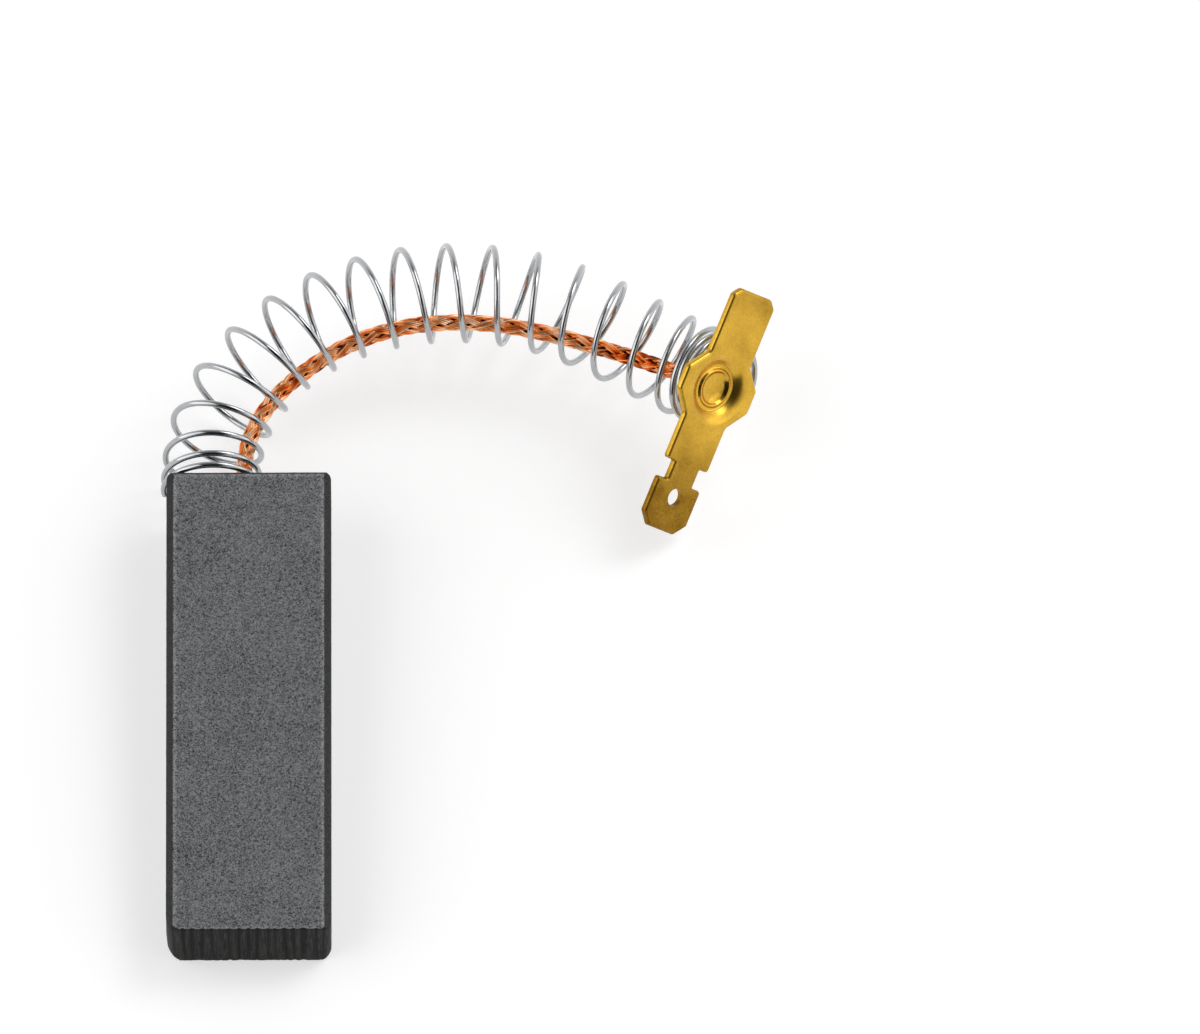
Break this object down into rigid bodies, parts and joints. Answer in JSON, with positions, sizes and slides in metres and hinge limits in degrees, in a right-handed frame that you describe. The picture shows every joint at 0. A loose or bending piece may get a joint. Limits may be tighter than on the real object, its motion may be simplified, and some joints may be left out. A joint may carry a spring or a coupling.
{
  "type": "carbon brush",
  "caption": "Carbon motor brush: a rectangular carbon block with a bare copper shunt inside a bent compression spring, clinched to a stamped brass terminal.",
  "frame": {"origin": "centre of the carbon block's flat back face", "axes": "+X across the block's width, +Y along the block away from the contact end, towards the shunt and the spring, +Z through its thickness, out of the front face"},
  "size_m": [0.0467, 0.0595, 0.013],
  "materials": {
    "carbon_block": "matte, fine grained carbon graphite",
    "tamping_plug": "matte tamped copper powder",
    "shunt": "bare stranded copper",
    "spring": "drawn spring wire, semi-bright",
    "terminal": "semi-bright rolled strip",
    "shunt_rivet": "semi-bright"
  },
  "bodies": {
    "root": {"carbon_block": "carbon_block", "tamping_plug": "tamping_plug", "shunt": "shunt", "spring": "spring", "terminal": "terminal", "shunt_rivet": "shunt_rivet"}
  },
  "joints": []
}
